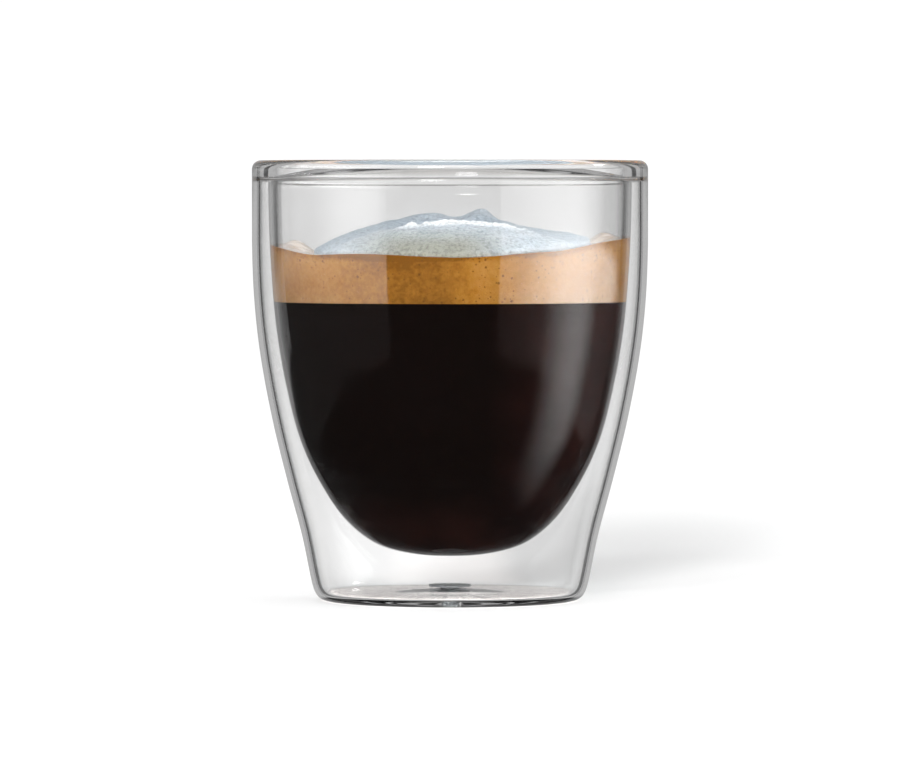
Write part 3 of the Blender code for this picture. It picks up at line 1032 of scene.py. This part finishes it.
@dataclass
class Studio:
    """Floor, sky, lamps and the camera at the photograph's angle."""

    distance: float = 1050.0 * MM
    eye_height: float = 66.0 * MM
    aim_height: float = 34.5 * MM
    view_width: float = 143.2 * MM
    sensor: float = 36.0
    floor_reach: float = 40.0
    # The floor is whole up to the first distance and gone from the second
    floor_fade: tuple[float, float] = (0.12, 1.1)
    backdrop: float = 1.05
    ambient_low: float = 0.42
    ambient_top: float = 1.08
    base_level: float = 0.02
    boxes: dict[Mirror, list[SoftBox]] = field(default_factory=lambda: {
        # Panels all round but for two narrow gaps, which show as the dark lines in the outer wall
        Mirror.OUTER_WALL: [
            SoftBox(-139.0, -60.0, -5.0, 60.0, 0.45, low_edge=4.0),
            SoftBox(62.0, 151.0, -5.0, 60.0, 0.5, low_edge=4.0),
            SoftBox(-62.0, -34.0, -95.0, 60.0, 0.45, left_edge=8.0),
            SoftBox(-28.0, 28.0, -95.0, 60.0, 0.45),
            SoftBox(34.0, 62.0, -95.0, 60.0, 0.45, right_edge=8.0),
            SoftBox(-181.0, 181.0, 40.0, 95.0, 0.35, low_edge=20.0, high_edge=1.0),
        ],
        # One bright patch low at the right, and dim panels round it
        Mirror.BOWL_FACE: [
            SoftBox(68.0, 120.0, -55.0, 0.0, 3.0, left_edge=20.0, right_edge=28.0, low_edge=46.0),
            SoftBox(-31.0, 31.0, -30.0, 60.0, 0.35, low_edge=22.0),
            SoftBox(-139.0, -45.0, -3.0, 60.0, 0.4),
            SoftBox(-50.0, -28.0, -9.0, -2.0, 0.5, high_edge=1.5),
            SoftBox(43.0, 66.0, -3.0, 60.0, 0.4),
        ],
        # Tall panels over low strips at both sides, strongest at the right
        Mirror.BOWL_LINING: [
            SoftBox(-31.0, 31.0, -30.0, 60.0, 0.35, low_edge=22.0),
            SoftBox(-139.0, -28.0, -20.0, -2.5, 1.2, right_edge=16.0, high_edge=1.5),
            SoftBox(-139.0, -45.0, -4.0, 60.0, 1.2),
            SoftBox(30.0, 148.0, -20.0, -2.5, 1.0, left_edge=16.0, high_edge=1.5),
            SoftBox(30.0, 148.0, -20.0, -2.5, 4.0, left_edge=24.0, right_edge=50.0, high_edge=1.5),
            SoftBox(60.0, 148.0, -4.0, 60.0, 1.2, left_edge=16.0),
            SoftBox(60.0, 148.0, -4.0, 60.0, 3.0, left_edge=36.0, right_edge=50.0),
        ],
        # A wide panel at each side and one behind
        Mirror.FAR_SIDE: [
            SoftBox(-148.0, -62.0, -20.0, 60.0, 0.5, left_edge=50.0, right_edge=24.0),
            SoftBox(76.0, 150.0, -20.0, 60.0, 1.3, left_edge=34.0, right_edge=34.0),
            SoftBox(-31.0, 31.0, -95.0, 60.0, 0.5),
        ],
    })

    def camera(self) -> None:
        """Place a long lens just below the rim's level, with the picture's middle at the aim height."""
        data = bpy.data.cameras.new("camera")
        data.sensor_width = self.sensor
        data.lens = self.sensor * self.distance / self.view_width
        data.clip_start = 0.05
        data.clip_end = 200.0
        obj = bpy.data.objects.new("camera", data)
        bpy.context.scene.collection.objects.link(obj)
        obj.location = (0.0, -self.distance, self.eye_height)
        aim = Vector((0.0, 0.0, self.aim_height)) - obj.location
        obj.rotation_euler = aim.to_track_quat("-Z", "Y").to_euler()
        bpy.context.scene.camera = obj

    def glow(self, tree: Tree, place: Socket, away: Socket) -> Socket:
        """Painted light: the table glows in soft patches under the glass's foot, where the glass gathers
        light, and in a strip behind it, where it lets light through.

        Args:
            tree: The table's node tree.
            place: Position in metres.
            away: Distance from the glass's axis.

        Returns:
            Strength of the painted glow.
        """
        gathered = mapped(tree, away, 21.2 * MM, 18.6 * MM, smooth=True)
        uneven = mapped(tree, noise(tree, place, 130.0, 3.0), 0.3, 0.7, 0.5, 0.74)
        axes = add(tree, "ShaderNodeSeparateXYZ", {0: place})
        beside = maths(tree, "ABSOLUTE", axes.outputs["X"])
        narrow = mapped(tree, beside, 16.0 * MM, 6.0 * MM, smooth=True)
        behind = mapped(tree, axes.outputs["Y"], 12.0 * MM, 40.0 * MM, 0.0, 0.22)
        patches = maths(tree, "MULTIPLY", gathered, uneven)
        return maths(tree, "ADD", patches, maths(tree, "MULTIPLY", narrow, behind))

    def floor(self) -> bpy.types.Object:
        """Lay a pale floor that thins out with distance, so that no horizon shows, with a painted glow of
        light round the glass's foot. Reflections pass it by.

        Returns:
            The floor, a stage piece.
        """
        mesh = bpy.data.meshes.new("floor")
        reach = self.floor_reach
        corners = [(-reach, -reach, 0.0), (reach, -reach, 0.0), (reach, reach, 0.0), (-reach, reach, 0.0)]
        mesh.from_pydata(corners, [], [(0, 1, 2, 3)])
        obj = bpy.data.objects.new("floor", mesh)
        bpy.context.scene.collection.objects.link(obj)
        material, tree, out, place = new_material("painted_white_table")
        body = add(tree, "ShaderNodeBsdfDiffuse", {"Color": linear("#E9E9E9")})
        open_below = add(tree, "ShaderNodeBsdfTransparent")
        away = add(tree, "ShaderNodeVectorMath", {0: place}, operation="LENGTH").outputs["Value"]
        strength = self.glow(tree, place, away)
        # Painted light: the table glows where the glass would gather light
        painted_glow = add(tree, "ShaderNodeEmission", {"Color": linear("#FFF4EF"), "Strength": strength})
        lighted = add(tree, "ShaderNodeAddShader", {0: body.outputs["BSDF"], 1: painted_glow.outputs["Emission"]})
        gone = mapped(tree, away, *self.floor_fade, smooth=True)
        rays = add(tree, "ShaderNodeLightPath")
        missing = add(tree, "ShaderNodeMath", {0: rays.outputs["Glossy Depth"], 1: gone}, operation="ADD",
                      use_clamp=True)
        mix = add(tree, "ShaderNodeMixShader", {
            0: missing.outputs[0], 1: lighted.outputs["Shader"], 2: open_below.outputs["BSDF"]})
        tree.links.new(mix.outputs["Shader"], out.inputs["Surface"])
        mesh.materials.append(material)
        return obj

    def lamp(self, name: str, energy: float, angle: float, azimuth: float, elevation: float,
             table: bpy.types.Object, on_table: bool) -> None:
        """Hang a lamp far off, with flags that keep its light on the table alone or off it.

        Args:
            name: Its name.
            energy: Strength.
            angle: Apparent width in degrees, which softens its shadow.
            azimuth: Where it stands, in degrees from +Y towards +X.
            elevation: Height above the floor in degrees.
            table: The table, which the flags are set for.
            on_table: Whether it lights the table alone, with the shadows of the rest on it.
        """
        data = bpy.data.lights.new(name, "SUN")
        data.energy = energy
        data.angle = np.radians(angle)
        obj = bpy.data.objects.new(name, data)
        bpy.context.scene.collection.objects.link(obj)
        flags = bpy.data.collections.new("flags_of_" + name)
        flags.objects.link(table)
        flags.collection_objects[0].light_linking.link_state = "INCLUDE" if on_table else "EXCLUDE"
        obj.light_linking.receiver_collection = flags
        turn, lift = np.radians(azimuth), np.radians(elevation)
        towards = Vector((np.sin(turn) * np.cos(lift), np.cos(turn) * np.cos(lift), np.sin(lift)))
        obj.rotation_euler = towards.to_track_quat("Z", "Y").to_euler()

    def window(self, tree: Tree, value: Socket, low: float, high: float,
               low_edge: float, high_edge: float) -> Socket:
        """A smooth window: 0 below low, 1 between low and high, 0 above high.

        Args:
            tree: The node tree.
            value: What is tested.
            low: Lower end.
            high: Upper end.
            low_edge: Width of the change at the lower end.
            high_edge: Width of the change at the upper end.

        Returns:
            The product of the two steps.
        """
        up = mapped(tree, value, low, low + low_edge, smooth=True)
        down = mapped(tree, value, high, high - high_edge, smooth=True)
        return maths(tree, "MULTIPLY", up, down)

    def mirrored(self, tree: Tree, turn: Socket, lift: Socket, crossed: Socket) -> Socket:
        """Light for the reflections: each soft box shows in one wall alone, over a faint base level.

        Args:
            tree: The world's node tree.
            turn: Azimuth in degrees.
            lift: Elevation in degrees.
            crossed: How many glass surfaces the light has crossed.

        Returns:
            Strength of the light.
        """
        total = self.base_level
        for mirror, boxes in self.boxes.items():
            first, last = mirror.value
            chosen = maths(tree, "COMPARE", crossed, 0.5 * (first + last), 0.5 * (last - first) + 0.5)
            for box in boxes:
                across = self.window(tree, turn, box.left, box.right, box.left_edge, box.right_edge)
                upright = self.window(tree, lift, box.low, box.high, box.low_edge, box.high_edge)
                mine = maths(tree, "MULTIPLY", maths(tree, "MULTIPLY", across, upright), chosen)
                total = maths(tree, "MULTIPLY_ADD", mine, box.strength, total)
        return total

    def dome(self, tree: Tree, turn: Socket, lift: Socket) -> Socket:
        """The light that passes through the glass: bright before, behind and beside it, darker in between.

        Args:
            tree: The world's node tree.
            turn: Azimuth in degrees.
            lift: Elevation in degrees.

        Returns:
            A colour.
        """
        wave = maths(tree, "COSINE", maths(tree, "RADIANS", maths(tree, "MULTIPLY", turn, 4.0)))
        side = ramp(tree, mapped(tree, wave, -1.0, 1.0), [
            (0.0, "#DADBDC"), (0.55, "#F0F0F0"), (1.0, "#FCFCFC")])
        above = ramp(tree, mapped(tree, lift, 0.0, 90.0), [
            (0.0, "#FFFFFF"), (0.25, "#F0EFEE"), (1.0, "#DDDCDA")])
        return blended(tree, 1.0, side, above, "MULTIPLY")

    def sky(self) -> None:
        """Paint the sky: white to the eye, a pale dome through the glass, and soft boxes in its mirrors."""
        world = bpy.data.worlds.new("studio")
        bpy.context.scene.world = world
        world.use_nodes = True
        tree = world.node_tree
        tree.nodes.clear()
        axes = add(tree, "ShaderNodeSeparateXYZ", {0: add(tree, "ShaderNodeTexCoord").outputs["Generated"]})
        turn = maths(tree, "DEGREES", maths(tree, "ARCTAN2", axes.outputs["X"], axes.outputs["Y"]))
        lift = maths(tree, "DEGREES", maths(tree, "ARCSINE", axes.outputs["Z"]))
        rays = add(tree, "ShaderNodeLightPath")
        shown = self.dome(tree, turn, lift)
        for kind, light in (
            ("Glossy Depth", self.mirrored(tree, turn, lift, rays.outputs["Transmission Depth"])),
            ("Diffuse Depth", mapped(tree, lift, -5.0, 70.0, self.ambient_low, self.ambient_top)),
            ("Is Camera Ray", (self.backdrop, self.backdrop, self.backdrop, 1.0)),
        ):
            shown = blended(tree, rays.outputs[kind], shown, light)
        back = add(tree, "ShaderNodeBackground", {"Color": shown, "Strength": 1.0})
        out = add(tree, "ShaderNodeOutputWorld")
        tree.links.new(back.outputs["Background"], out.inputs["Surface"])

    def build(self) -> None:
        """Set the stage and how light is followed and shown."""
        scene = bpy.context.scene
        scene.view_settings.view_transform = "Standard"
        scene.cycles.max_bounces = 32
        scene.cycles.transmission_bounces = 24
        scene.cycles.glossy_bounces = 12
        scene.cycles.transparent_max_bounces = 32
        table = self.floor()
        self.sky()
        self.lamp("key_from_the_front_left", 1.7, 15.0, -169.0, 19.0, table, False)
        self.lamp("rim_light_from_the_right", 1.0, 8.0, 72.0, 30.0, table, False)
        # One tall strip light for the table, in three parts, so that its shadow fans out
        self.lamp("strip_light_low", 3.3, 9.0, -172.0, 10.0, table, True)
        self.lamp("strip_light_middle", 2.5, 9.0, -168.0, 15.0, table, True)
        self.lamp("strip_light_high", 1.2, 11.0, -155.0, 23.0, table, True)
        self.camera()


def main() -> None:
    """Build the drink and its glass, then the studio."""
    glass = DoubleWalledGlass()
    glass.build(BlownGlass())
    VentSeal(glass).build(ClearSilicone())
    Coffee(glass).build(BlackCoffee())
    crema = Crema(glass)
    crema.build(CremaFroth())
    FoamMound(crema).build(MilkFoamFroth())
    Studio().build()


if __name__ == "__main__":
    logging.basicConfig(level=logging.INFO, format="%(message)s")
    main()
